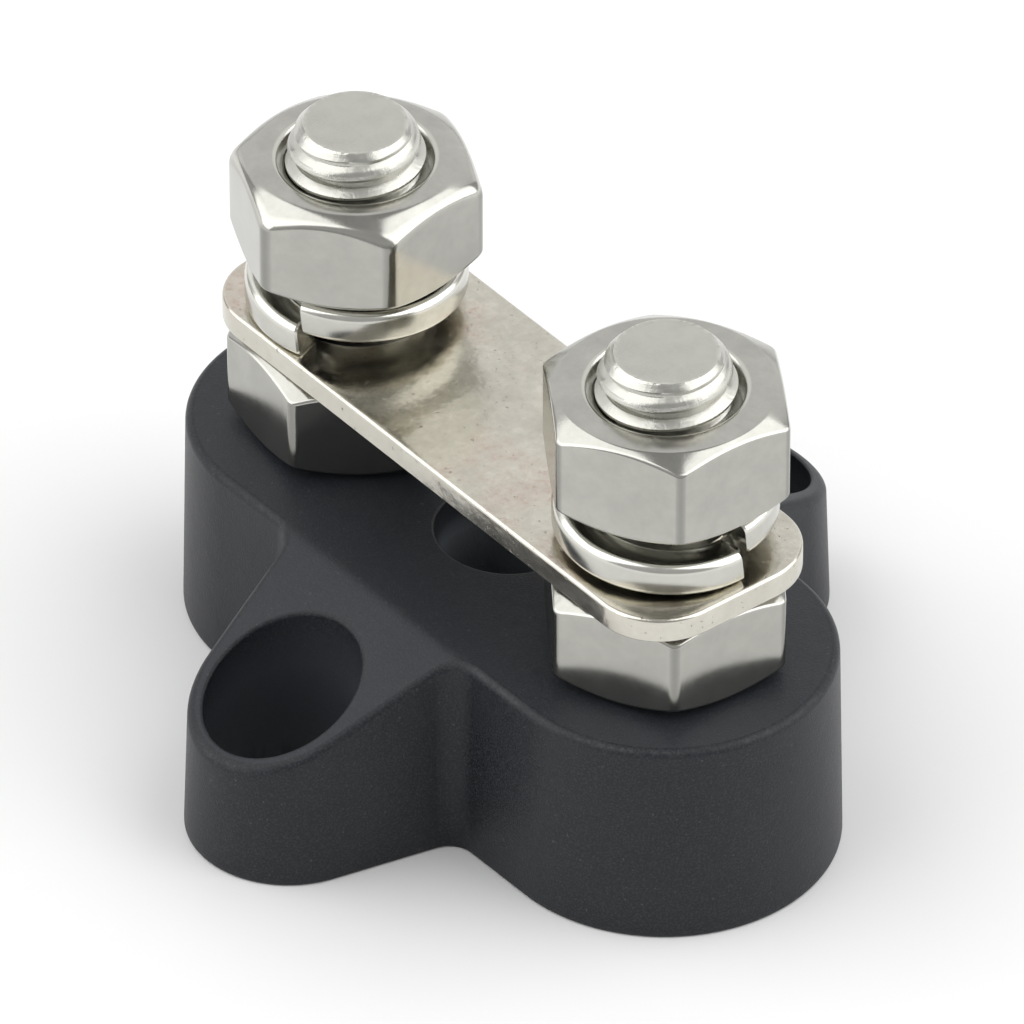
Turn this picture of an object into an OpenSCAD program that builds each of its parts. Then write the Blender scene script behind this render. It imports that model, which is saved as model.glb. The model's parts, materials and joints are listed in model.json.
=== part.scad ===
// Two-stud insulated power junction block. A moulded base with two mounting ears holds two hex
// head studs. Each stud carries a lower nut, a link bar lies across both lower nuts, and a split
// spring washer and a terminal nut clamp it down on each stud.
// Millimetres. +X runs from stud A to stud B, +Y from one ear to the other, +Z up the studs.
// The origin is the centre of the base's underside.

/* [Studs] */
// Distance between the axes of the two studs
stud_spacing = 27.3; // [26:0.1:32]
// Major diameter of the stud thread
stud_d = 8; // [7.4:0.1:8]
// Height of the stud ends above the underside of the base
stud_top = 33.6; // [32.8:0.1:36]
// Length of a stud under its head
stud_length = 25; // [24:0.1:26]
// Diameter of the flat left on the end of a stud by its lead-in chamfer
stud_end_d = 6; // [5:0.1:7]
// Thickness of a stud's hex head
head_h = 5.3; // [4:0.1:5.5]

/* [Base] */
// Radius of the base's round ends, which is also half its width between the ears
base_r = 10.1; // [9.5:0.05:12]
// Height of the base's flat top
base_h = 13.1; // [12.5:0.1:13.5]
// Radius that rounds the rim of the top
rim_r = 0.5; // [0.2:0.1:1]
// Diameter of the blind recess in the middle of the top
recess_d = 8.5; // [6:0.1:9]
// Depth of the blind recess
recess_depth = 9; // [4:0.5:10]
// Play between a stud and its hole and hex pocket in the base, on each side
stud_play = 0.1; // [0.05:0.05:0.2]

/* [Ears] */
// Distance between the centres of the two mounting holes
hole_spacing = 32.9; // [32:0.1:36]
// Diameter of the mounting holes
hole_d = 8.9; // [5:0.1:9]
// Radius of an ear's rounded tip
tip_r = 5.95; // [5.8:0.05:6.5]
// Distance from the middle of the base to the centre of a tip's rounding
tip_y = 16.05; // [16:0.1:18]
// Angle by which each side of an ear flares towards the base
ear_flare = 14; // [8:1:20]
// Angle by which the top of an ear falls towards its tip
ear_fall = 25; // [15:0.1:26]
// Radius that blends the sides of an ear into the base
ear_blend_r = 1.5; // [0.5:0.1:2]

/* [Nuts] */
// Width across the flats of the nuts and of the stud heads
nut_af = 13; // [12.7:0.1:13]
// Thickness of a nut
nut_h = 6.4; // [6:0.1:6.8]
// Diameter of the flat face inside the 30 degree corner chamfer
nut_face_d = 11.6; // [11:0.1:12.6]
// Diameter of that face on top of terminal nut B, whose chamfer is smaller
nut_b_face_d = 12.2; // [11:0.1:12.6]
// Diameter at the mouth of a nut's countersinks
countersink_d = 9; // [8.4:0.1:9.5]
// Radial running clearance of a nut on its stud
thread_clearance = 0.05; // [0.02:0.01:0.1]
// Direction of one corner of lower nut A
lower_nut_a_turn = -9; // [-30:1:30]
// Direction of one corner of lower nut B
lower_nut_b_turn = -35.5; // [-60:0.5:0]
// Direction of one corner of terminal nut A
top_nut_a_turn = -23.5; // [-60:0.5:0]
// Direction of one corner of terminal nut B
top_nut_b_turn = -33.5; // [-60:0.5:0]

/* [Link bar] */
// Length of the link bar
link_length = 41.2; // [40.6:0.1:44]
// Width of the link bar
link_w = 13.1; // [12:0.1:14]
// Thickness of the link bar
link_t = 1.5; // [1.2:0.05:1.6]
// Radius of the link bar's corners
link_corner_r = 4; // [2:0.1:6]
// Diameter of the stud holes in the link bar
link_hole_d = 8.8; // [8.6:0.1:9]
// Angle by which the link bar lies turned on the studs
link_turn = -1; // [-1:0.1:1]

/* [Spring washers] */
// Outer diameter of a spring washer
washer_od = 12.7; // [12:0.1:13]
// Side of the washer's square section
washer_section = 2.1; // [1.8:0.1:2.1]
// Height between the link bar and the terminal nuts
washer_height = 3.8; // [3.3:0.05:4]
// Angle left open at the split
washer_gap = 4; // [4:1:12]
// Direction of the split of washer A
washer_a_split = -70; // [-180:1:180]
// Direction of the split of washer B
washer_b_split = 5; // [-180:1:180]

/* [Hidden] */
$fn = 64;
// Overlap that keeps a cut from ending on a face
eps = 0.1;
// Gap between pieces that lie on each other, so that no two solids share a face
seat = 0.02;
// Overlap of the ears' blends with the walls that they join, which they then meet at a slight angle
blend_bite = 0.03;
// Angle of the chamfer on the corners of nuts and heads
chamfer_angle = 30;
stud_x = stud_spacing / 2;
stud_r = stud_d / 2;
stud_seat_z = stud_top - stud_length;
head_z = stud_seat_z - head_h;
corner_d = nut_af / cos(30);
lower_nut_z = base_h + seat;
link_z = lower_nut_z + nut_h + seat;
washer_z = link_z + link_t + seat;
top_nut_z = washer_z + washer_height + seat;
// Turned steps of the helix that a spring washer follows
washer_steps = 48;

// A hexagonal prism with one corner in the direction turn, its two ends chamfered to the face
// diameters given.
module chamfered_hex(height, low_face_d, high_face_d, turn = 0) {
    corner_r = corner_d / 2 + eps;
    low_drop = (corner_r - low_face_d / 2) * tan(chamfer_angle);
    high_drop = (corner_r - high_face_d / 2) * tan(chamfer_angle);
    intersection() {
        rotate(turn) cylinder(d = corner_d, h = height, $fn = 6);
        rotate_extrude() polygon([
            [0, 0], [low_face_d / 2, 0], [corner_r, low_drop],
            [corner_r, height - high_drop], [high_face_d / 2, height], [0, height]
        ]);
    }
}

module hex_nut(turn, high_face_d = nut_face_d) {
    bore_r = stud_r + thread_clearance;
    sink_h = countersink_d / 2 - bore_r;
    difference() {
        chamfered_hex(nut_h, nut_face_d, high_face_d, turn);
        translate([0, 0, -eps]) cylinder(r = bore_r, h = nut_h + 2 * eps);
        translate([0, 0, -eps]) cylinder(r1 = bore_r + sink_h + eps, r2 = bore_r, h = sink_h + eps);
        translate([0, 0, nut_h - sink_h]) cylinder(r1 = bore_r, r2 = bore_r + sink_h + eps, h = sink_h + eps);
    }
}

// A hex head standing on its stud's thread, with the end of the stud chamfered.
module stud() {
    lead_in = (stud_d - stud_end_d) / 2;
    translate([0, 0, head_z]) chamfered_hex(head_h, nut_face_d, corner_d + 2 * eps);
    translate([0, 0, stud_seat_z - eps]) cylinder(r = stud_r, h = stud_length + eps - lead_in);
    translate([0, 0, stud_top - lead_in]) cylinder(r1 = stud_r, r2 = stud_end_d / 2, h = lead_in);
}

// Half of the outline of the base's wall and rim, from the middle of the base outwards.
module rim_profile() {
    square([base_r, base_h - rim_r]);
    square([base_r - rim_r, base_h]);
    translate([base_r - rim_r, base_h - rim_r]) circle(rim_r);
}

// The body between and around the studs, without its ears.
module oblong_body() {
    for (side = [-1, 1]) translate([side * stud_x, 0, 0]) rotate_extrude() rim_profile();
    for (side = [0, 180]) rotate(side) translate([-stud_x, 0, 0]) rotate([90, 0, 90])
        linear_extrude(height = stud_spacing) rim_profile();
}

// Plan of one ear and of the half of the base that it grows from. The tip is an arc, the sides are
// tangent to it and flare, and an arc blends each side into the base.
module ear_plan() {
    tangent_x = tip_r * cos(ear_flare);
    tangent_y = tip_y + tip_r * sin(ear_flare);
    root_x = tangent_x + (tangent_y - base_r) * tan(ear_flare);
    blend_y = base_r + ear_blend_r;
    blend_x = tangent_x + (tangent_y - blend_y) * tan(ear_flare) + ear_blend_r / cos(ear_flare);
    translate([0, tip_y]) circle(tip_r);
    polygon([
        [-root_x, 0], [root_x, 0], [root_x, base_r], [tangent_x, tangent_y],
        [-tangent_x, tangent_y], [-root_x, base_r]
    ]);
    for (side = [0, 1]) mirror([side, 0]) difference() {
        polygon([
            [0, 0], [blend_x, 0], [blend_x, base_r],
            [blend_x - ear_blend_r * cos(ear_flare), blend_y - ear_blend_r * sin(ear_flare)]
        ]);
        translate([blend_x - blend_bite, blend_y - blend_bite]) circle(ear_blend_r);
    }
}

// An ear with its top cut by a plane that leaves the rim of the base and falls towards the tip.
module ear() {
    difference() {
        linear_extrude(height = base_h) ear_plan();
        translate([0, base_r, base_h]) rotate([-ear_fall, 0, 0])
            translate([-2 * base_r, -base_r, 0]) cube([4 * base_r, 4 * base_r, base_h]);
    }
}

module base() {
    pocket_d = corner_d + 2 * stud_play / cos(30);
    color([0.13, 0.13, 0.14]) difference() {
        union() {
            oblong_body();
            for (side = [0, 180]) rotate(side) ear();
        }
        for (side = [-1, 1]) translate([side * stud_x, 0, 0]) {
            translate([0, 0, -eps]) cylinder(r = stud_r + stud_play, h = base_h + 2 * eps);
            translate([0, 0, -eps]) cylinder(d = pocket_d, h = stud_seat_z + eps, $fn = 6);
        }
        for (side = [-1, 1]) translate([0, side * hole_spacing / 2, -eps])
            cylinder(d = hole_d, h = base_h + 2 * eps);
        translate([0, 0, base_h - recess_depth]) cylinder(d = recess_d, h = recess_depth + eps);
    }
}

module lower_nut(side, turn) {
    color([0.6, 0.6, 0.58]) translate([side * stud_x, 0, lower_nut_z]) hex_nut(turn);
}

module top_nut(side, turn, face_d) {
    color([0.74, 0.74, 0.74]) translate([side * stud_x, 0, top_nut_z]) hex_nut(turn, face_d);
}

module link_plan() {
    inner_x = link_length / 2 - link_corner_r;
    inner_y = link_w / 2 - link_corner_r;
    square([link_length, 2 * inner_y], center = true);
    square([2 * inner_x, link_w], center = true);
    for (x = [-inner_x, inner_x], y = [-inner_y, inner_y]) translate([x, y]) circle(link_corner_r);
}

module link_bar() {
    color([0.8, 0.78, 0.73]) translate([0, 0, link_z]) rotate(link_turn) difference() {
        linear_extrude(height = link_t) link_plan();
        for (side = [-1, 1]) translate([side * stud_x, 0, -eps])
            cylinder(d = link_hole_d, h = link_t + 2 * eps);
    }
}

// Corners of a spring washer's section at one angle: inner low, outer low, outer high, inner high.
function section_at(angle, low_z) = [
    for (corner = [[-1, 0], [0, 0], [0, 1], [-1, 1]])
    let (r = washer_od / 2 + corner[0] * washer_section)
    [r * cos(angle), r * sin(angle), low_z + corner[1] * washer_section]
];

// One left-hand coil, which sinks from the nut to the link bar as it goes round counter-clockwise.
module spring_washer(split) {
    rise = washer_height - washer_section;
    sweep = 360 - washer_gap;
    points = [
        for (step = [0:washer_steps])
        let (part = step / washer_steps)
        each section_at(split + washer_gap / 2 + sweep * part, rise * (1 - part))
    ];
    walls = [
        for (step = [0:washer_steps - 1], edge = [0:3])
        let (here = 4 * step, next = (edge + 1) % 4)
        [here + edge, here + 4 + edge, here + 4 + next, here + next]
    ];
    last = 4 * washer_steps;
    ends = [[0, 1, 2, 3], [last + 3, last + 2, last + 1, last]];
    polyhedron(points, concat(walls, ends), convexity = 4);
}

module placed_washer(side, split) {
    color([0.72, 0.72, 0.7]) translate([side * stud_x, 0, washer_z]) spring_washer(split);
}

module placed_stud(side) {
    color([0.55, 0.55, 0.56]) translate([side * stud_x, 0, 0]) stud();
}

base();
placed_stud(-1);  // stud_a
placed_stud(1);  // stud_b
lower_nut(-1, lower_nut_a_turn);  // lower_nut_a
lower_nut(1, lower_nut_b_turn);  // lower_nut_b
link_bar();
placed_washer(-1, washer_a_split);  // spring_washer_a
placed_washer(1, washer_b_split);  // spring_washer_b
top_nut(-1, top_nut_a_turn, nut_face_d);  // top_nut_a
top_nut(1, top_nut_b_turn, nut_b_face_d);  // top_nut_b
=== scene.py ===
import json
import math

import bmesh
import bpy
import numpy as np
from mathutils import Matrix, Vector
from mathutils.geometry import delaunay_2d_cdt


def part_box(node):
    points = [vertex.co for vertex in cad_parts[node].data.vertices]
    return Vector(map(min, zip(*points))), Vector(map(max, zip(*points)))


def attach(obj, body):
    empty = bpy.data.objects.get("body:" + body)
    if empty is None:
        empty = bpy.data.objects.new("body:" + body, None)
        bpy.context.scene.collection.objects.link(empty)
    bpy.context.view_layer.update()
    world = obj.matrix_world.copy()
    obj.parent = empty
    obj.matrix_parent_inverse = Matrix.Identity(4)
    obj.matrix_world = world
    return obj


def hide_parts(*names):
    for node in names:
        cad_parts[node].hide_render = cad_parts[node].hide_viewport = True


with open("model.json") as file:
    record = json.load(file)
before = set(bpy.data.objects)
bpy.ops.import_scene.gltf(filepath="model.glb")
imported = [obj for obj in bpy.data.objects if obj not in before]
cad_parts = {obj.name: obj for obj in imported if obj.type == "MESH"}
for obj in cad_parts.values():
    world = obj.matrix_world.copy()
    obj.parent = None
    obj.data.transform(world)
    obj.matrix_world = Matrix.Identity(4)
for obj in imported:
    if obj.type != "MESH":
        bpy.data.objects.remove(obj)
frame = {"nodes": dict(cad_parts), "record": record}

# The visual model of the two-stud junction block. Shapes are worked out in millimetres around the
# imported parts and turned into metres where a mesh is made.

MM = 0.001
TAU = 2 * math.pi
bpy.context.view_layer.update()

# ---------------------------------------------------------------- dimensions, in millimetres


def box_mm(node):
    """Lowest and highest corner of a CAD node."""
    low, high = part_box(node)
    return np.array(low) / MM, np.array(high) / MM


def mount(name):
    """A mount of the record."""
    return next(m for m in frame["record"]["mounts"] if m["name"] == name)


BASE_HIGH = box_mm("base")[1]
STUD_LOW, STUD_HIGH = box_mm("stud_b")
STUD_X = (STUD_LOW[0] + STUD_HIGH[0]) / 2
SIDES = {"a": -1, "b": 1}

# Base
BASE_R = BASE_HIGH[0] - STUD_X
BASE_TOP = BASE_HIGH[2]
DRAFT = 0.27
RIM_R = 0.5
FOOT_R = 0.25
HOLE_Y = mount("mounting_holes")["dims"]["spacing_y_mm"] / 2
HOLE_R = mount("mounting_holes")["dims"]["hole_r_mm"]
HOLE_EDGE_R = 0.22
TIP_R = 5.95
TIP_Y = BASE_HIGH[1] - TIP_R
EAR_FLARE = math.radians(14)
EAR_FALL = math.tan(math.radians(25))
EAR_BLEND_R = 1.6
CREASE_Y = BASE_R - DRAFT - 0.05
CREASE_SOFTNESS = 0.28
RECESS_R = 4.25
RECESS_FLOOR = 4.1
POCKET_AF = 13.2
POCKET_CORNER_R = 0.3
POCKET_TOP = 8.6
STUD_HOLE_R = 4.1

# Wear and painted light on the base. Negative values are painted light on the top faces, holes and
# recess: -1 paints a lighter grey, -2 a much lighter one.
EAR_TIP_WEAR = 1.15
EAR_SIDE_WEAR = 0.15
FOOT_WEAR = 0.3
HOLE_EDGE_WEAR = 0.15
# Painted light that lightens the top faces, the holes' walls and the recess
TOP_PAINTED_LIGHT = 0.30
HOLE_PAINTED_LIGHT = 1.0
RECESS_PAINTED_LIGHT = 2.0

# Threads. The phase is the height at which a root crosses the direction +X.
PITCH = 1.25
THREAD_DEPTH = 0.6134 * PITCH
THREAD_PHASE = -0.6
CREST_SHARE = 0.125
CREST_WEAR_DEPTH = 0.25
STUD_R = 4.0
CREST_R = STUD_R - 0.03
NUT_THREAD_GAP = 0.09
NUT_BORE_R = (STUD_R - 0.66, STUD_R + 0.06)

# Studs. The lead is the cone at the end, with a knee at (depth, radius), and the groove is how far a
# thread may cut into it: at the end itself, and more per millimetre of depth. The run-out is how far
# above the head the thread begins, and how far on it has its full depth.
STUD_END_R = 2.95
STUD_END_EDGE = (0.25, 0.02)
STUD_END_DISH = 0.03
STUD_END_WEAR = 0.2
STUD_WEAR = 0.4
LEAD_KNEE = (0.62, 3.5)
LEAD_SLOPE = 0.36
LEAD_GROOVE = (0.14, 0.2)
RUN_OUT = (0.6, 1.2)
HEAD_CORNER_R = 0.3
HEAD_EDGE_R = (0.3, 0.12, 0.1)

# Nuts
NUT_AF = 13.0
NUT_FACE_R = 5.8
TOP_FACE_R = {"a": 5.7, "b": 6.12}
NUT_CORNER_R = {"top_nut_a": 1.0, "top_nut_b": 0.65, "lower_nut_a": 0.75, "lower_nut_b": 0.7}
NUT_EDGE_R = {"top_nut_a": 1.3, "top_nut_b": 0.35, "lower_nut_a": 0.3, "lower_nut_b": 0.3}
NUT_FACE_EDGE_R = {"top_nut_a": 1.2, "top_nut_b": 0.35, "lower_nut_a": 0.3, "lower_nut_b": 0.3}
NUT_SEAT_R = 0.3
SINK_R = 4.55
SINK_FOOT_R = 4.1
SINK_DEPTH = 0.4
SINK_EDGE_R = 0.5
LOW_SINK_EDGE_R = 0.08
CHAMFER = math.tan(math.radians(30))

# Link bar and washers
LINK_LENGTH = 41.2
LINK_W = 13.1
LINK_CORNER_R = 4.0
LINK_HOLE_R = 4.4
LINK_TURN = math.radians(-1)
LINK_BORDER = 0.6
LINK_EDGE_R = (0.06, 0.22)
LINK_HOLE_BORDER = 0.4
LINK_HOLE_EDGE_R = (0.05, 0.15)
WASHER_R = 6.35
WASHER_SECTION = 2.1
WASHER_CORNER_R = 0.55
WASHER_STEPS = 120
WASHER_END_SIZE = 0.9
WASHER_END_BEVEL = 0.09
WASHER_SLANT = -0.1
WASHER_GAP = math.radians(1.8)
WASHER_SPLIT = {"a": math.radians(-70), "b": math.radians(4.7)}

# How near two points are the same: while shapes are made, in millimetres, and in a mesh, in metres
SAME_POINT = 1e-6
WELD = 2e-6
DEGENERATE = 1e-7

CREASE_ANGLE = math.radians(35)

# ---------------------------------------------------------------- mesh code


class Shell:
    """Points in millimetres and the faces between them, gathered patch by patch and welded at the end.
    Each point has a value of wear and painted light that the materials read: above 0 on rubbed edges,
    below 0 on the dull corners of the nuts and where the base is painted lighter as painted light."""

    def __init__(self):
        self.points, self.wear_and_painted_light, self.faces, self.count = [], [], [], 0

    def add(self, points, faces, wear_and_painted_light=0.0):
        points = np.asarray(points, float).reshape(-1, 3)
        self.points.append(points)
        self.wear_and_painted_light.append(np.broadcast_to(np.asarray(wear_and_painted_light, float).ravel(), (len(points),)))
        self.faces += (np.asarray(faces, int) + self.count).tolist()
        self.count += len(points)

    def grid(self, rows, wear_and_painted_light=0.0, pitch_rows=0):
        """Quads between rows of points that run round an axis. Wear is one value, one for each row or
        one for each point. A helical grid meets itself pitch_rows rows further on, after one turn."""
        rows = np.asarray(rows, float)
        n, m = rows.shape[:2]
        index = np.arange(n * m).reshape(n, m)
        inner = np.stack([index[:-1, :-1], index[:-1, 1:], index[1:, 1:], index[1:, :-1]], -1)
        last, first = index[:n - pitch_rows, -1], index[pitch_rows:, 0]
        seam = np.stack([last[:-1], first[:-1], first[1:], last[1:]], -1)
        if np.ndim(wear_and_painted_light) == 1:
            wear_and_painted_light = np.reshape(wear_and_painted_light, (-1, 1))
        wear_and_painted_light = np.broadcast_to(wear_and_painted_light, (n, m))
        self.add(rows, np.concatenate([inner.reshape(-1, 4), seam]), wear_and_painted_light)

    def fill(self, outer, holes, height, extra=(), wear_and_painted_light=0.0):
        """Triangles between an outer loop and the loops of its holes, at the height that a function of
        x and y gives."""
        loops = [np.asarray(loop)[:, :2] for loop in (outer, *holes)]
        points, edges = [], []
        for loop in loops:
            start = len(points)
            points += [Vector(p) for p in loop]
            edges += [(start + i, start + (i + 1) % len(loop)) for i in range(len(loop))]
        points += [Vector(p) for p in extra if within(np.array([p]), loops)[0]]
        flat, _, triangles, *_ = delaunay_2d_cdt(points, edges, [], 0, SAME_POINT)
        flat = np.array([tuple(p) for p in flat])
        triangles = np.array([t for t in triangles if len(t) == 3])
        triangles = triangles[within(flat[triangles].mean(1), loops)]
        self.add(np.column_stack([flat, height(flat[:, 0], flat[:, 1])]), triangles, wear_and_painted_light)

    def piece(self, name, material, slot, body, nodes, origin=(0, 0, 0)):
        """One welded object that stands for CAD nodes and rides on their body."""
        mesh = bpy.data.meshes.new(name)
        points = np.vstack(self.points) - np.asarray(origin, float)
        mesh.from_pydata((points * MM).tolist(), [], self.faces)
        wear_and_painted_light = mesh.attributes.new("wear_and_painted_light", "FLOAT", "POINT")
        wear_and_painted_light.data.foreach_set("value", np.concatenate(self.wear_and_painted_light))
        bm = bmesh.new()
        bm.from_mesh(mesh)
        bmesh.ops.remove_doubles(bm, verts=bm.verts, dist=WELD)
        bmesh.ops.dissolve_degenerate(bm, edges=bm.edges, dist=DEGENERATE)
        bmesh.ops.recalc_face_normals(bm, faces=bm.faces)
        for face in bm.faces:
            face.smooth = True
        for edge in bm.edges:
            edge.smooth = len(edge.link_faces) == 2 and edge.calc_face_angle() < CREASE_ANGLE
        bm.to_mesh(mesh)
        bm.free()
        piece = bpy.data.objects.new(name, mesh)
        bpy.context.scene.collection.objects.link(piece)
        piece.location = np.asarray(origin, float) * MM
        weighted = piece.modifiers.new("even_flats", "WEIGHTED_NORMAL")
        weighted.keep_sharp = True
        mesh.materials.append(material)
        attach(piece, body)
        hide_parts(*nodes)


def within(points, loops):
    """Whether each point lies inside an odd number of the closed loops."""
    inside = np.zeros(len(points), bool)
    for loop in loops:
        ax, ay = loop[:, 0], loop[:, 1]
        bx, by = np.roll(ax, -1), np.roll(ay, -1)
        px, py = points[:, :1], points[:, 1:2]
        spans = (ay > py) != (by > py)
        rise = np.where(by == ay, 1, by - ay)
        inside ^= (spans & (px < ax + (py - ay) * (bx - ax) / rise)).sum(1) % 2 == 1
    return inside


def arc(centre, radius, start, end, steps):
    """Points and outward normals along an arc, as rows of x, y, nx, ny."""
    angle = np.linspace(start, end, steps + 1)
    nx, ny = np.cos(angle), np.sin(angle)
    return np.column_stack([centre[0] + radius * nx, centre[1] + radius * ny, nx, ny])


def line(start, end, normal, steps):
    """Points along a straight side with its normal, as rows of x, y, nx, ny."""
    t = np.linspace(0, 1, steps + 1)[:, None]
    points = np.array(start) * (1 - t) + np.array(end) * t
    return np.column_stack([points, np.tile(normal, (steps + 1, 1))])


def closed(outline):
    """An outline without repeated neighbours."""
    step = np.hypot(*(outline - np.roll(outline, 1, 0))[:, :2].T)
    return outline[step > SAME_POINT]


def circle(centre, radius, steps=96):
    return arc(centre, radius, 0, TAU, steps)[:-1]


def moved(outline, offset):
    """The points of an outline, moved along its normals."""
    return outline[:, :2] + outline[:, 2:] * offset


def lifted(flat, height):
    """Flat points at a height, which is one for all of them or one for each."""
    return np.column_stack([flat, np.broadcast_to(height, len(flat))])


def flat_at(height):
    """The height function of a level patch."""
    return lambda x, y: np.full(len(x), height)


def ring_rows(outline, path):
    """Rows of points round an outline, one for each (offset, height) of a path."""
    return np.array([lifted(moved(outline, offset), height) for offset, height in path])


def rounded_path(points, radii, steps=4):
    """A path in a plane with its corners rounded, each by its own radius, and by less where it would
    take up more than 0.45 of a side."""
    points = [np.asarray(p, float) for p in points]
    path = [points[0]]
    for before, corner, after, radius in zip(points, points[1:], points[2:], radii):
        to_before, to_after = before - corner, after - corner
        room = min(np.hypot(*to_before), np.hypot(*to_after)) * 0.45
        to_before, to_after = to_before / np.hypot(*to_before), to_after / np.hypot(*to_after)
        half = math.acos(np.clip(to_before @ to_after, -1, 1)) / 2
        reach = min(radius / math.tan(half), room)
        radius = reach * math.tan(half)
        middle = to_before + to_after
        centre = corner + middle / np.hypot(*middle) * (radius / math.sin(half))
        start, end = corner + to_before * reach - centre, corner + to_after * reach - centre
        turn = math.atan2(start[0] * end[1] - start[1] * end[0], start @ end)
        for step in range(steps + 1):
            angle = turn * step / steps
            cos, sin = math.cos(angle), math.sin(angle)
            path.append(centre + [start[0] * cos - start[1] * sin, start[0] * sin + start[1] * cos])
    path.append(points[-1])
    return np.array(path)


def arc_wear(corners, steps=4):
    """Wear along a rounded path: highest in the middle of each rounded corner, none between them."""
    bump = np.sin(np.linspace(0, math.pi, steps + 1))
    return np.concatenate([[0.0], np.tile(bump, corners), [0.0]])


# ---------------------------------------------------------------- base


def base_outline():
    """The foot of the base's wall: two round ends, straight sides, and two flared ears whose sides
    blend into the body. One quarter is drawn and mirrored."""
    cos, sin = math.cos(EAR_FLARE), math.sin(EAR_FLARE)
    tangent = np.array([TIP_R * cos, TIP_Y + TIP_R * sin])
    blend_y = BASE_R + EAR_BLEND_R
    blend_x = tangent[0] + (tangent[1] - blend_y) * sin / cos + EAR_BLEND_R / cos
    blend = arc((blend_x, blend_y), EAR_BLEND_R, 1.5 * math.pi, math.pi + EAR_FLARE, 14)
    blend[:, 2:] *= -1
    quarter = np.vstack([
        arc((STUD_X, 0), BASE_R, 0, math.pi / 2, 36),
        line((STUD_X, BASE_R), (blend_x, BASE_R), (0, 1), 8),
        blend,
        line(blend[-1, :2], tangent, (cos, sin), 14),
        arc((0, TIP_Y), TIP_R, EAR_FLARE, math.pi / 2, 26)
    ])
    half = np.vstack([quarter, quarter[::-1] * [-1, 1, -1, 1]])
    return closed(np.vstack([half, half[::-1] * [1, -1, 1, -1]]))


def base_top(x, y):
    """Height of the base's top: flat on the body, and falling towards the tips on the ears."""
    past = (np.abs(y) - CREASE_Y) / CREASE_SOFTNESS
    return BASE_TOP - EAR_FALL * CREASE_SOFTNESS * np.logaddexp(0, 2 * past) / 2


def hex_outline(across_flats, corner_r, turn=0.0, flat_steps=14, corner_steps=6):
    """A hexagon with rounded corners, one of them in the direction turn, as rows of x, y, nx, ny."""
    reach = (across_flats / 2 - corner_r) / math.cos(math.pi / 6)
    corners = []
    for side in range(6):
        towards = turn + side * TAU / 6
        centre = (reach * math.cos(towards), reach * math.sin(towards))
        corners.append(arc(centre, corner_r, towards - TAU / 12, towards + TAU / 12, corner_steps))
    parts = []
    for side, corner in enumerate(corners):
        following = corners[(side + 1) % 6]
        parts += [corner, line(corner[-1, :2], following[0, :2], corner[-1, 2:], flat_steps)]
    return closed(np.vstack(parts))


def hole_rows(outline, floor, painted_light):
    """Rows of a hole in the base and their wear and painted light, from its rounded edge, which
    follows the base's top, down to its floor. Its walls are painted lighter, as painted light, by the
    value of the last argument."""
    rows, wear_and_painted_light = [], []
    for angle in np.linspace(math.pi / 2, 0, 5):
        flat = moved(outline, HOLE_EDGE_R * (1 - math.cos(angle)))
        rows.append(lifted(flat, base_top(*flat.T) - HOLE_EDGE_R * (1 - math.sin(angle))))
        wear_and_painted_light.append(HOLE_EDGE_WEAR * math.sin(2 * angle))
    # The rim of the mouth takes the painted light of the top faces
    wear_and_painted_light[0] = -TOP_PAINTED_LIGHT
    wall_height = rows[-1][:, 2] - floor
    for share in np.linspace(0.7, 0, 4):
        rows.append(lifted(outline[:, :2], floor + wall_height * share))
        wear_and_painted_light.append(-painted_light)
    return np.array(rows), np.array(wear_and_painted_light)


def base_wall():
    """Rows of the base's wall and their wear: the rounded foot, the drafted side and the rounded rim,
    which is rubbed most at the ears' tips and least on their sides."""
    outline = base_outline()
    rows, wear_and_painted_light = [], []
    for offset, height in rounded_path([(-2 * FOOT_R, 0), (0, 0), (0, 2 * FOOT_R)], [FOOT_R]):
        rows.append(lifted(moved(outline, offset), height))
        wear_and_painted_light.append(FOOT_WEAR * (0 < height < FOOT_R))
    foot = rows[-1][:, 2]
    rim_foot = base_top(*moved(outline, -DRAFT).T) - RIM_R
    for share in np.linspace(0, 1, 9)[1:-1]:
        rows.append(lifted(moved(outline, -DRAFT * share), foot + (rim_foot - foot) * share))
        wear_and_painted_light.append(0.0)
    for angle in np.linspace(0, math.pi / 2, 8):
        flat = moved(outline, RIM_R * math.cos(angle) - (DRAFT + RIM_R))
        rows.append(lifted(flat, base_top(*flat.T) - RIM_R * (1 - math.sin(angle))))
        wear_and_painted_light.append(math.sin(2 * angle))
    ear_wear = EAR_TIP_WEAR + (EAR_SIDE_WEAR - EAR_TIP_WEAR) * np.abs(outline[:, 2])
    wear_and_painted_light = np.array(wear_and_painted_light)[:, None] * np.where(np.abs(outline[:, 1]) > BASE_R, ear_wear, 1.0)
    # The top row takes the painted light that lightens the top faces
    wear_and_painted_light[-1] = -TOP_PAINTED_LIGHT
    return rows, wear_and_painted_light


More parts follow.
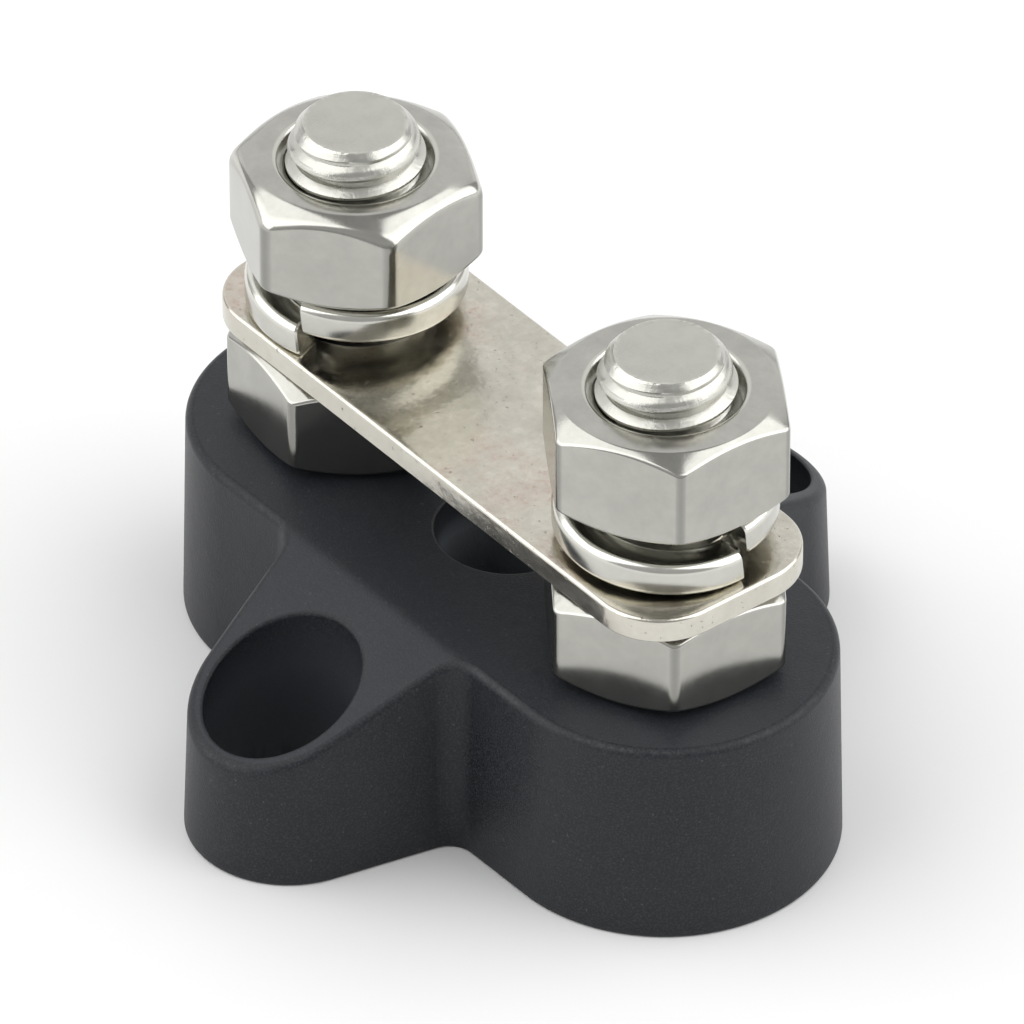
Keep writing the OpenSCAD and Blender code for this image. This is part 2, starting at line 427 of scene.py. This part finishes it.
def build_base(material):
    shell = Shell()
    wall, wear_and_painted_light = base_wall()
    shell.grid(wall, wear_and_painted_light)

    ears = [circle((0, side * HOLE_Y), HOLE_R) for side in (-1, 1)]
    studs = [circle((side * STUD_X, 0), STUD_HOLE_R) for side in (-1, 1)]
    recess = circle((0, 0), RECESS_R)
    mouths = []
    # The walls of each hole are painted lighter as painted light, and the recess much lighter
    for outline, floor, painted_light in (
        *((ear, 0.0, HOLE_PAINTED_LIGHT) for ear in ears),
        *((stud, POCKET_TOP, HOLE_PAINTED_LIGHT) for stud in studs),
        (recess, RECESS_FLOOR, RECESS_PAINTED_LIGHT)
    ):
        rows, wear_and_painted_light = hole_rows(outline, floor, painted_light)
        shell.grid(rows, wear_and_painted_light)
        mouths.append(rows[0])
    # The recess floor is painted much lighter, as painted light
    shell.fill(recess, [], flat_at(RECESS_FLOOR), wear_and_painted_light=-RECESS_PAINTED_LIGHT)

    # Extra points across the ears keep the crease between body and ear even
    crease_points = [
        (x, side * (CREASE_Y + step * CREASE_SOFTNESS / 2))
        for x in np.arange(-9, 9.1, 0.75) for side in (-1, 1) for step in range(-4, 5)
    ]
    # The top faces are painted a little lighter, as painted light
    shell.fill(wall[-1], mouths, base_top, crease_points, wear_and_painted_light=-TOP_PAINTED_LIGHT)

    pockets = []
    for side in (-1, 1):
        pocket = hex_outline(POCKET_AF, POCKET_CORNER_R, flat_steps=6, corner_steps=4)
        pocket[:, 0] += side * STUD_X
        pockets.append(pocket)
        shell.grid(ring_rows(pocket, [(0, 0), (0, POCKET_TOP)]))
    for pocket, stud in zip(pockets, studs):
        shell.fill(pocket, [stud], flat_at(POCKET_TOP))
    shell.fill(wall[0], [*ears, *pockets], flat_at(0.0))
    shell.piece("junction_base", material, "moulded_base", "block", ["base"])


# ---------------------------------------------------------------- threads, studs and nuts


def thread_profile():
    """Shares of one pitch and the stud thread's radii there: root, flank, crest, flank, root. Points
    crowd together at the ends of each flank."""
    flank = THREAD_DEPTH * math.tan(math.radians(30)) / PITCH
    root = 1 - CREST_SHARE - 2 * flank
    up, down = root / 2, 1 - root / 2
    bottom = STUD_R - THREAD_DEPTH
    knees = [
        (0, bottom), (up, bottom), (up + flank, CREST_R), (up + flank + CREST_SHARE, CREST_R),
        (down, bottom), (1, bottom)
    ]
    steps = [flank * share for share in (0, 0.06, 0.3, 0.65, 0.94, 1)]
    shares = [0, 0.5] + [up + step for step in steps] + [down - step for step in steps]
    shares = np.array(sorted(shares))
    return shares, np.interp(shares, *zip(*knees))


def helix_rows(angles, low, high, radius_at):
    """Rows of a helical grid between two heights, their wear and the number of rows in one pitch.
    radius_at(height, thread radius) gives each point's radius, and rows past either end lie on that
    end. The thread's phase is the same for every piece, and its crests are worn."""
    shares, radii = thread_profile()
    first = math.floor((low - THREAD_PHASE - PITCH * angles[0] / TAU) / PITCH) - 2
    turns = math.ceil((high - low) / PITCH) + 4
    share = (first + np.arange(turns)[:, None] + shares[None]).ravel()
    thread = np.tile(radii, turns)
    height = THREAD_PHASE + PITCH * (share[:, None] + angles[None] / TAU)
    height = np.clip(height, low, high)
    radius = radius_at(height, np.broadcast_to(thread[:, None], height.shape))
    rows = np.stack([radius * np.cos(angles), radius * np.sin(angles), height], -1)
    return rows, np.clip((thread - STUD_R) / CREST_WEAR_DEPTH + 1, 0, 1), len(shares)


def polar_rows(angles, columns):
    """Rows of points from one (radius, height) path for each direction."""
    columns = np.asarray(columns)
    radius, height = columns[..., 0].T, columns[..., 1].T
    return np.stack([radius * np.cos(angles), radius * np.sin(angles), height], -1)


def hex_angles(across_flats, corner_r, turn, flat_steps=14):
    """Directions and radii round a hexagon with rounded corners."""
    outline = hex_outline(across_flats, corner_r, turn, flat_steps)
    angles = np.unwrap(np.arctan2(outline[:, 1], outline[:, 0]))
    order = np.argsort(angles)
    return angles[order], np.hypot(outline[:, 0], outline[:, 1])[order]


def corner_direction(node, centre_x):
    """Direction of a corner of a hexagonal CAD node round its stud's axis."""
    points = np.array([v.co[:2] for v in frame["nodes"][node].data.vertices]) / MM - [centre_x, 0]
    x, y = points[np.argmax(np.hypot(points[:, 0], points[:, 1]))]
    return math.atan2(y, x)


def nut_wear(node, reach):
    """Wear of a nut's outside: rubbed at the countersink's lip and the chamfers' outer edges, dull on
    the rounded corners of the flanks, and none on the face's edge or the seat. Each rounding has five
    rows: the lip from row 1, the face's edge from 6, the chamfers from 11 and 16, the seat from 21."""
    flank_end = math.hypot(NUT_AF / 2, (NUT_AF / 2 - NUT_CORNER_R[node]) * math.tan(math.pi / 6))
    corner = np.clip((reach - flank_end) / (reach.max() - flank_end), 0, 1)
    wear_and_painted_light = arc_wear(6)[:, None] * np.ones(len(reach))
    wear_and_painted_light[6:11] = 0
    wear_and_painted_light[14:18] = -corner
    wear_and_painted_light[21:] = 0
    return wear_and_painted_light


def bore_radius(low, high):
    """The radius function of a nut's threaded bore, which widens to the countersink at both ends."""
    def radius_at(z, thread):
        mouth = SINK_FOOT_R - np.minimum(z - low, high - z)
        return np.maximum(np.clip(thread + NUT_THREAD_GAP, *NUT_BORE_R), mouth)

    return radius_at


def build_nut(name, node, body, side, face_r, material):
    low, high = box_mm(node)
    height = high[2] - low[2]
    centre = np.array([side * STUD_X, 0, low[2]])
    angles, reach = hex_angles(NUT_AF, NUT_CORNER_R[node], corner_direction(node, centre[0]))
    edges = [
        SINK_EDGE_R, NUT_FACE_EDGE_R[node], NUT_EDGE_R[node], NUT_SEAT_R, NUT_SEAT_R, LOW_SINK_EDGE_R
    ]
    columns = [
        rounded_path([
            (SINK_FOOT_R, height - SINK_DEPTH), (SINK_R, height), (face_r, height),
            (radius, height - (radius - face_r) * CHAMFER), (radius, (radius - NUT_FACE_R) * CHAMFER),
            (NUT_FACE_R, 0), (SINK_R, 0), (SINK_FOOT_R, SINK_DEPTH)
        ], edges)
        for radius in reach
    ]
    shell = Shell()
    shell.grid(polar_rows(angles, columns) + centre, nut_wear(node, reach))
    ends = low[2] + SINK_DEPTH, high[2] - SINK_DEPTH
    rows, _, pitch_rows = helix_rows(angles, *ends, bore_radius(*ends))
    shell.grid(rows + [centre[0], 0, 0], 0.0, pitch_rows)
    shell.piece(name, material, "nut_steel", body, [node], origin=centre)


def shank_radius(seat, end):
    """The radius function of a stud between its head and its end: plain under the thread's run-out,
    and narrowed by the lead at the end."""
    def radius_at(z, thread):
        run_out = np.clip((z - seat - RUN_OUT[0]) / RUN_OUT[1], 0, 1)
        radius = CREST_R * (1 - run_out) + thread * run_out
        depth = end - z
        knee_depth, knee_r = LEAD_KNEE
        lead = STUD_END_R + depth * (knee_r - STUD_END_R) / knee_depth
        lead = np.minimum(np.minimum(lead, knee_r + (depth - knee_depth) * LEAD_SLOPE), STUD_R)
        return np.maximum(np.minimum(radius, lead), lead - LEAD_GROOVE[0] - LEAD_GROOVE[1] * depth)

    return radius_at


def build_stud(name, node, side, material):
    low, high = box_mm(node)
    bottom, seat, end = low[2], POCKET_TOP, high[2]
    axis = [side * STUD_X, 0, 0]
    angles, reach = hex_angles(NUT_AF, HEAD_CORNER_R, turn=0.0, flat_steps=12)
    columns = [
        rounded_path([
            (0, bottom), (NUT_FACE_R, bottom), (radius, bottom + (radius - NUT_FACE_R) * CHAMFER),
            (radius, seat), (CREST_R, seat)
        ], HEAD_EDGE_R)
        for radius in reach
    ]
    shell = Shell()
    shell.grid(polar_rows(angles, columns) + axis, arc_wear(3))
    rows, wear_and_painted_light, pitch_rows = helix_rows(angles, seat, end, shank_radius(seat, end))
    shell.grid(rows + axis, np.maximum(wear_and_painted_light, STUD_WEAR), pitch_rows)
    edge_width, edge_depth = STUD_END_EDGE
    face = [
        (STUD_END_R, end), (STUD_END_R - edge_width, end - edge_depth), (0, end - STUD_END_DISH)
    ]
    shell.grid(polar_rows(angles, [face] * len(angles)) + axis, STUD_END_WEAR)
    shell.piece(name, material, "stud_steel", "block", [node], origin=(side * STUD_X, 0, seat))


# ---------------------------------------------------------------- washers and link bar


def build_washer(name, node, body, side, split, material):
    """A square section swept once round and down, with its two ends bevelled and slanted. Each station
    has a share of the sweep, a size of the section and a bevel."""
    low, high = box_mm(node)
    rise = high[2] - low[2] - WASHER_SECTION
    half = WASHER_SECTION / 2
    middle = WASHER_R - half
    square = [(0, -half), (half, -half), (half, half), (-half, half), (-half, -half), (0, -half)]
    section = rounded_path(square, [WASHER_CORNER_R] * 4)[:-1]
    stations = [
        (0.0, WASHER_END_SIZE, 0.0), (0.0, 1.0, WASHER_END_BEVEL),
        *((step / WASHER_STEPS, 1.0, 0.0) for step in range(1, WASHER_STEPS)),
        (1.0, 1.0, -WASHER_END_BEVEL), (1.0, WASHER_END_SIZE, 0.0)
    ]
    rows = []
    for share, size, bevel in stations:
        r = middle + section[:, 0] * size
        z = section[:, 1] * size
        sweep = (TAU - WASHER_GAP) * share
        angle = split + WASHER_GAP / 2 + sweep + bevel / middle + WASHER_SLANT * z / middle
        height = np.clip(low[2] + half + rise * (1 - share) + z, low[2], high[2])
        rows.append(np.column_stack([r * np.cos(angle), r * np.sin(angle), height]))
    rows = np.array(rows) + [side * STUD_X, 0, 0]
    shell = Shell()
    shell.grid(rows, np.tile(arc_wear(4)[:-1], (len(rows), 1)))
    count = len(section)
    fan = [(i, (i + 1) % count, count) for i in range(count)]
    for end in (rows[0], rows[-1]):
        shell.add(np.vstack([end, end.mean(0)]), fan)
    shell.piece(name, material, "washer_steel", body, [node], origin=(side * STUD_X, 0, low[2]))


def link_outline():
    """A rectangle with rounded corners, turned a little on its studs as in the photo."""
    x, y = LINK_LENGTH / 2 - LINK_CORNER_R, LINK_W / 2 - LINK_CORNER_R
    quadrants = ((1, 1, 0), (-1, 1, math.pi / 2), (-1, -1, math.pi), (1, -1, 1.5 * math.pi))
    corners = [
        arc((sx * x, sy * y), LINK_CORNER_R, start, start + math.pi / 2, 18)
        for sx, sy, start in quadrants
    ]
    parts = []
    for index, corner in enumerate(corners):
        following = corners[(index + 1) % 4]
        steps = 40 if index % 2 == 0 else 8
        parts += [corner, line(corner[-1, :2], following[0, :2], corner[-1, 2:], steps)]
    outline = closed(np.vstack(parts))
    cos, sin = math.cos(LINK_TURN), math.sin(LINK_TURN)
    turn = np.array([[cos, sin], [-sin, cos]])
    return np.hstack([outline[:, :2] @ turn, outline[:, 2:] @ turn])


def build_link(material):
    """The bar, with two holes. Its sheared side is worn all over, from the middle of one rounding to
    the middle of the other."""
    low, high = box_mm("link_bar")
    bottom, top = low[2], high[2]
    side_path, hole_path = (
        rounded_path([(border, bottom), (0, bottom), (0, top), (border, top)], radii)
        for border, radii in ((-LINK_BORDER, LINK_EDGE_R), (LINK_HOLE_BORDER, LINK_HOLE_EDGE_R))
    )
    side_wear = arc_wear(2)
    side_wear[3:9] = 1
    shell = Shell()
    rows = ring_rows(link_outline(), side_path)
    shell.grid(rows, side_wear)
    holes = []
    for side in (-1, 1):
        centre = (side * STUD_X * math.cos(LINK_TURN), side * STUD_X * math.sin(LINK_TURN))
        hole = ring_rows(circle(centre, LINK_HOLE_R, steps=72), hole_path)
        shell.grid(hole, arc_wear(2))
        holes.append(hole)
    shell.fill(rows[-1], [hole[-1] for hole in holes], flat_at(top))
    shell.fill(rows[0], [hole[0] for hole in holes], flat_at(bottom))
    shell.piece("link_plate", material, "plated_link", "block", ["link_bar"], origin=(0, 0, bottom))


# ---------------------------------------------------------------- materials

STEEL_TINT = (1.0, 0.99, 0.912)


class Shader:
    """A material under construction: its nodes and short calls that add to them. Lengths inside it
    are millimetres on the piece itself."""

    def __init__(self, name, **constants):
        self.material = bpy.data.materials.new(name)
        self.material.use_nodes = True
        self.tree = self.material.node_tree
        self.surface = self.tree.nodes["Principled BSDF"]
        for socket, value in constants.items():
            self.surface.inputs[socket.replace("_", " ")].default_value = value
        coordinates = self.add("ShaderNodeTexCoord")
        scale = self.add("ShaderNodeVectorMath", operation="SCALE")
        self.link(coordinates.outputs["Object"], scale.inputs[0])
        scale.inputs["Scale"].default_value = 1 / MM
        self.place = scale.outputs[0]

    def add(self, kind, **settings):
        node = self.tree.nodes.new(kind)
        for key, value in settings.items():
            setattr(node, key, value)
        return node

    def link(self, source, target):
        self.tree.links.new(source, target)

    def put(self, value, socket):
        """Sets a socket to a number or colour, or links it to another node's output."""
        if isinstance(value, bpy.types.NodeSocket):
            self.link(value, socket)
        else:
            socket.default_value = value

    def stretched(self, x, y, z):
        """The place on the piece with each axis scaled: a noise is longer along one scaled below 1."""
        node = self.add("ShaderNodeVectorMath", operation="MULTIPLY")
        self.link(self.place, node.inputs[0])
        node.inputs[1].default_value = (x, y, z)
        return node.outputs[0]

    def noise(self, size, detail=3.0, rough=0.55, place=None, distortion=0.0):
        """Noise from 0 to 1 whose features are about size millimetres wide."""
        node = self.add("ShaderNodeTexNoise")
        self.link(place or self.place, node.inputs["Vector"])
        node.inputs["Scale"].default_value = 1 / size
        node.inputs["Detail"].default_value = detail
        node.inputs["Roughness"].default_value = rough
        node.inputs["Distortion"].default_value = distortion
        return node.outputs["Fac"]

    def ramp(self, value, *stops):
        """Grey levels or colours along a value, as (position, level) pairs."""
        node = self.add("ShaderNodeValToRGB")
        self.put(value, node.inputs["Fac"])
        elements = node.color_ramp.elements
        while len(elements) < len(stops):
            elements.new(0.5)
        for element, (position, level) in zip(elements, stops):
            element.position = position
            element.color = (*level, 1) if isinstance(level, tuple) else (level, level, level, 1)
        return node.outputs["Color"]

    def mix(self, share, first, second):
        """Two colours or outputs mixed, the second one by its share."""
        node = self.add("ShaderNodeMix", data_type="RGBA")
        for value, index in ((share, 0), (first, 6), (second, 7)):
            self.put((*value, 1) if isinstance(value, tuple) else value, node.inputs[index])
        return node.outputs[2]

    def math(self, operation, first, second=0.0, clamp=False):
        node = self.add("ShaderNodeMath", operation=operation, use_clamp=clamp)
        self.put(first, node.inputs[0])
        self.put(second, node.inputs[1])
        return node.outputs[0]

    # The value of wear and painted light that each point of the piece has
    def wear_and_painted_light(self):
        return self.add("ShaderNodeAttribute", attribute_name="wear_and_painted_light").outputs["Fac"]

    def bump(self, height, depth, normal=None):
        """A bump whose full height is depth millimetres."""
        node = self.add("ShaderNodeBump")
        node.inputs["Strength"].default_value = 1.0
        node.inputs["Distance"].default_value = depth * MM
        self.link(height, node.inputs["Height"])
        if normal is not None:
            self.link(normal, node.inputs["Normal"])
        return node.outputs["Normal"]

    def done(self, colour, roughness=None, normal=None):
        """The material, with its surface linked to what was made."""
        for value, socket in ((colour, "Base Color"), (roughness, "Roughness"), (normal, "Normal")):
            if value is not None:
                self.link(value, self.surface.inputs[socket])
        return self.material


def moulded_plastic():
    """Black glass-filled nylon: fine spark-eroded grain, pale specks, and rims rubbed lighter here and
    there. Where the value is negative it is painted lighter as painted light, and below -1, in the
    recess, much lighter."""
    s = Shader("moulded_plastic", Metallic=0.0, IOR=1.5, Specular_IOR_Level=0.30)
    grain = s.noise(0.13, 3.0, 0.65)
    patches = s.noise(4.0, 4.0, 0.6)
    colour = s.ramp(patches, (0.3, (0.0078, 0.0092, 0.0120)), (0.7, (0.0108, 0.0124, 0.0155)))
    colour = s.mix(s.ramp(grain, (0.45, 0.0), (0.76, 0.9)), colour, (0.034, 0.0365, 0.041))
    specks = s.ramp(s.noise(0.3, 2.0, 0.5), (0.70, 0.0), (0.76, 0.7))
    colour = s.mix(specks, colour, (0.065, 0.066, 0.070))
    rubbed = s.math("POWER", s.math("MAXIMUM", s.wear_and_painted_light(), 0.0), 4.0)
    rubbed = s.math("MULTIPLY", rubbed, s.ramp(s.noise(0.45, 5.0, 0.8), (0.45, 0.05), (0.70, 1.0)))
    rubbed = s.math("MULTIPLY", rubbed, s.ramp(s.noise(6.0, 2.0, 0.5), (0.42, 0.25), (0.60, 1.0)))
    colour = s.mix(rubbed, colour, (0.055, 0.056, 0.059))
    # Painted light: below 0 the plastic is painted towards a lighter grey, and below -1, in the
    # recess, towards a much lighter one
    painted_light_share = s.math("MULTIPLY", s.wear_and_painted_light(), -1.0, clamp=True)
    colour = s.mix(painted_light_share, colour, (0.042, 0.046, 0.054))
    strong_painted_light_share = s.math("SUBTRACT", s.math("MULTIPLY", s.wear_and_painted_light(), -1.0), 1.0, clamp=True)
    colour = s.mix(strong_painted_light_share, colour, (0.190, 0.208, 0.230))
    roughness = s.ramp(grain, (0.3, 0.36), (0.7, 0.48))
    normal = s.bump(grain, 0.026)
    normal = s.bump(s.noise(1.6, 3.0), 0.03, normal)
    return s.done(colour, roughness, normal)


def bright_steel(name, brightness, roughness, creases=0.0):
    """Machined stainless steel: fine random scratches, faint smears and brighter edges. Dull places,
    whose wear is negative, are darker. Creases is the depth of the creases that worn places have."""
    def steel(share):
        return tuple(brightness * share * c for c in STEEL_TINT)

    s = Shader(name, Metallic=1.0)
    smear = s.noise(2.2, 5.0, 0.7)
    colour = s.ramp(smear, (0.3, steel(0.90)), (0.7, steel(1.08)))
    bright = s.math("MULTIPLY", s.wear_and_painted_light(), 0.5, clamp=True)
    colour = s.mix(bright, colour, steel(1.7))
    dull = s.math("MULTIPLY", s.wear_and_painted_light(), -0.7, clamp=True)
    colour = s.mix(dull, colour, steel(0.5))
    fine = s.noise(0.06, 2.0, 0.6, s.stretched(1.0, 1.0, 0.12))
    smeared = s.ramp(smear, (0.3, 0.0), (0.7, 1.0))
    rough = s.mix(smeared, (roughness * 0.9,) * 3, (roughness * 1.15,) * 3)
    normal = s.bump(fine, 0.0022)
    normal = s.bump(s.noise(3.0, 2.0), 0.008, normal)
    if creases:
        folds = s.noise(0.7, 3.0, 0.6, s.stretched(1.0, 1.0, 0.4), 0.6)
        normal = s.bump(s.math("MULTIPLY", folds, s.wear_and_painted_light(), clamp=True), creases, normal)
    return s.done(colour, rough, normal)


def tin_plate():
    """Satin tin plating on copper: cloudy mottling, rolling lines along the bar, small pits, warm
    stains and brighter sheared edges."""
    s = Shader("tin_plate", Metallic=1.0)
    broad = s.noise(3.2, 6.0, 0.72)
    colour = s.ramp(broad, (0.32, (0.480, 0.459, 0.400)), (0.68, (0.690, 0.662, 0.582)))
    mottle = s.ramp(s.noise(0.6, 4.0, 0.7), (0.38, 0.0), (0.70, 0.5))
    colour = s.mix(mottle, colour, (0.46, 0.433, 0.37))
    stain = s.ramp(s.noise(4.5, 3.0, 0.6), (0.54, 0.0), (0.66, 1.0))
    colour = s.mix(s.math("MULTIPLY", stain, 0.22), colour, (0.62, 0.46, 0.40))
    spots = s.ramp(s.noise(0.45, 5.0, 0.8), (0.50, 0.0), (0.66, 0.55))
    colour = s.mix(s.math("MULTIPLY", stain, spots), colour, (0.46, 0.30, 0.24))
    colour = s.mix(s.math("MULTIPLY", s.wear_and_painted_light(), 0.4, clamp=True), colour, (0.72, 0.70, 0.63))
    pits = s.ramp(s.noise(0.36, 2.0), (0.27, 1.0), (0.32, 0.0))
    colour = s.mix(s.math("MULTIPLY", pits, 0.6), colour, (0.30, 0.23, 0.19))
    lines = s.noise(0.25, 3.0, 0.6, s.stretched(0.05, 1.0, 1.0))
    waves = s.noise(1.9, 3.0, 0.5)
    rough = s.mix(s.ramp(broad, (0.3, 0.0), (0.7, 1.0)), (0.15, 0.15, 0.15), (0.26, 0.26, 0.26))
    normal = s.bump(lines, 0.003)
    normal = s.bump(pits, -0.012, normal)
    normal = s.bump(waves, 0.055, normal)
    return s.done(colour, rough, normal)


def studio_floor():
    s = Shader("studio_floor", Metallic=0.0, Roughness=0.9)
    return s.done(s.ramp(s.noise(60.0, 2.0), (0.3, 0.81), (0.7, 0.83)))


# ---------------------------------------------------------------- pieces

base_material = moulded_plastic()
nut_material = bright_steel("nut_steel", brightness=0.44, roughness=0.15)
lower_nut_material = bright_steel("lower_nut_steel", brightness=0.43, roughness=0.16)
stud_material = bright_steel("stud_steel", brightness=0.48, roughness=0.28, creases=0.06)
washer_material = bright_steel("washer_steel", brightness=0.56, roughness=0.19)

build_base(base_material)
build_link(tin_plate())
for letter, side in SIDES.items():
    build_stud(f"threaded_stud_{letter}", f"stud_{letter}", side, stud_material)
    build_nut(
        f"lower_hex_nut_{letter}", f"lower_nut_{letter}", "block", side,
        NUT_FACE_R, lower_nut_material
    )
    build_nut(
        f"terminal_nut_{letter}", f"top_nut_{letter}", f"nut_{letter}", side,
        TOP_FACE_R[letter], nut_material
    )
    build_washer(
        f"split_washer_{letter}", f"spring_washer_{letter}", f"washer_{letter}", side,
        WASHER_SPLIT[letter], washer_material
    )

# ---------------------------------------------------------------- stage, light and camera

FLOOR_SIZE = 3.0
CAMERA_AZIMUTH = math.radians(50.689)
CAMERA_ELEVATION = math.radians(38.144)
CAMERA_ROLL = math.radians(-0.025)
CAMERA_DISTANCE = 0.8635
CAMERA_TARGET = Vector((0.000996, -0.000644, 0.015))
CAMERA_LENS = 539.6
SENSOR_WIDTH = 36
CLIP_START, CLIP_END = 0.05, 20
WORLD_LEVEL = 0.42


def direction(azimuth, elevation):
    """A unit vector towards an azimuth, counted from -Y towards +X, and an elevation, in radians."""
    cos = math.cos(elevation)
    return Vector((math.sin(azimuth) * cos, -math.cos(azimuth) * cos, math.sin(elevation)))


def build_floor():
    half = FLOOR_SIZE / 2
    corners = [(-half, -half, 0), (half, -half, 0), (half, half, 0), (-half, half, 0)]
    mesh = bpy.data.meshes.new("floor")
    mesh.from_pydata(corners, [], [(0, 1, 2, 3)])
    mesh.materials.append(studio_floor())
    floor = bpy.data.objects.new("floor", mesh)
    bpy.context.scene.collection.objects.link(floor)


def softbox(name, radiance, width, height, azimuth, elevation, distance=1.0):
    """A rectangular area light that faces the object from a direction given in degrees."""
    light = bpy.data.lights.new(name, "AREA")
    light.shape, light.size, light.size_y = "RECTANGLE", width, height
    light.energy = radiance * math.pi * width * height
    back = direction(math.radians(azimuth), math.radians(elevation))
    lamp = bpy.data.objects.new(name, light)
    lamp.location = CAMERA_TARGET + back * distance
    lamp.rotation_euler = back.to_track_quat("Z", "Y").to_euler()
    bpy.context.scene.collection.objects.link(lamp)


def build_world():
    world = bpy.data.worlds.new("studio")
    world.use_nodes = True
    background = world.node_tree.nodes["Background"]
    background.inputs["Color"].default_value = (1, 1, 1, 1)
    background.inputs["Strength"].default_value = WORLD_LEVEL
    bpy.context.scene.world = world


def build_camera():
    camera = bpy.data.objects.new("camera", bpy.data.cameras.new("camera"))
    bpy.context.scene.collection.objects.link(camera)
    camera.data.lens = CAMERA_LENS
    camera.data.sensor_width = SENSOR_WIDTH
    camera.data.clip_start, camera.data.clip_end = CLIP_START, CLIP_END
    back = direction(CAMERA_AZIMUTH, CAMERA_ELEVATION)
    turn = back.to_track_quat("Z", "Y").to_matrix() @ Matrix.Rotation(CAMERA_ROLL, 3, "Z")
    camera.matrix_world = Matrix.Translation(CAMERA_TARGET + back * CAMERA_DISTANCE) @ turn.to_4x4()
    bpy.context.scene.camera = camera


build_floor()
build_world()
softbox("left", radiance=1.60, width=1.3, height=1.5, azimuth=-31, elevation=40)
softbox("right", radiance=1.75, width=1.3, height=1.5, azimuth=133, elevation=40)
softbox("behind", radiance=0.56, width=2.4, height=1.3, azimuth=231, elevation=30, distance=1.2)
build_camera()
bpy.context.scene.view_settings.view_transform = "Standard"
